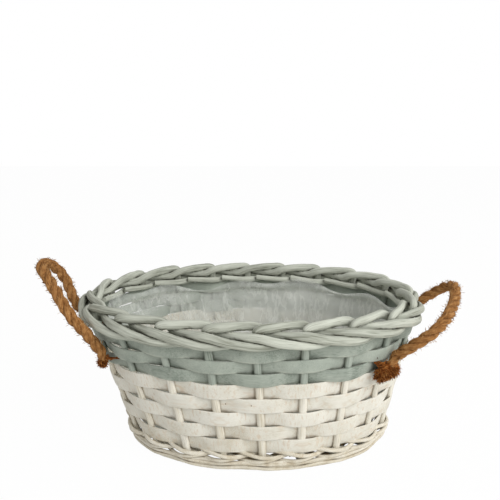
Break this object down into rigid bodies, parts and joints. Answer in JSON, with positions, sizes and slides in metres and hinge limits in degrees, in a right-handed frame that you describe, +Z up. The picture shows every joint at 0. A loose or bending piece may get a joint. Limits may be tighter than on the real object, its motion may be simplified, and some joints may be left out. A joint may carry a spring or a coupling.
{
  "type": "woven basket",
  "caption": "Oval willow basket with a plaited border, woven flat-chip walls in two colours, a clear film liner and rope loop handles that flop up and down at the ends.",
  "frame": {"origin": "on the surface that the basket stands on, under the middle of its overall box, with the rope handles as pictured", "axes": "+X along the basket's length towards the shorter rope loop, -Y towards the side that faces the camera, +Z up"},
  "size_m": [0.359, 0.1921, 0.1608],
  "materials": {
    "stake_rod": "matt, sage grey wash over willow bark",
    "green_chip": "matt, grey-green wash",
    "white_chip": "matt, white wash with bare wood showing",
    "white_rod": "matt, white wash",
    "base_rod": "matt, bare willow",
    "film": "clear film",
    "coir": "coarse twisted fibre"
  },
  "bodies": {
    "basket": {"stake_01": "stake_rod", "stake_02": "stake_rod", "stake_03": "stake_rod", "stake_04": "stake_rod", "stake_05": "stake_rod", "stake_06": "stake_rod", "stake_07": "stake_rod", "stake_08": "stake_rod", "stake_09": "stake_rod", "stake_10": "stake_rod", "stake_11": "stake_rod", "stake_12": "stake_rod", "stake_13": "stake_rod", "stake_14": "stake_rod", "stake_15": "stake_rod", "stake_16": "stake_rod", "stake_17": "stake_rod", "stake_18": "stake_rod", "stake_19": "stake_rod", "stake_20": "stake_rod", "chip_row_1": "green_chip", "chip_row_2": "green_chip", "chip_row_3": "green_chip", "chip_row_4": "white_chip", "chip_row_5": "white_chip", "chip_row_6": "white_chip", "chip_row_7": "white_chip", "chip_row_8": "white_chip", "waling_row_1": "white_rod", "waling_row_2": "white_rod", "waling_row_3": "white_rod", "waling_row_4": "white_rod", "long_base_sticks": "base_rod", "short_base_sticks": "base_rod", "base_row_1": "base_rod", "base_row_2": "base_rod", "base_row_3": "base_rod", "base_row_4": "base_rod", "base_row_5": "base_rod", "base_row_6": "base_rod", "base_row_7": "base_rod", "base_row_8": "base_rod", "liner": "film", "left_front_rope_end": "coir", "left_back_rope_end": "coir", "right_front_rope_end": "coir", "right_back_rope_end": "coir"},
    "left_handle": {"left_handle": "coir"},
    "right_handle": {"right_handle": "coir"}
  },
  "joints": [
    {"name": "left_handle_hinge", "type": "hinge", "parent": "basket", "child": "left_handle", "pos_m": [-0.12414, -0.05413, 0.0911], "axis": [-0.3264, 0.9452, 0], "range_deg": [-96, 0]},
    {"name": "right_handle_hinge", "type": "hinge", "parent": "basket", "child": "right_handle", "pos_m": [0.1105, -0.06123, 0.0911], "axis": [0.2532, 0.9674, 0], "range_deg": [-15, 81]}
  ]
}
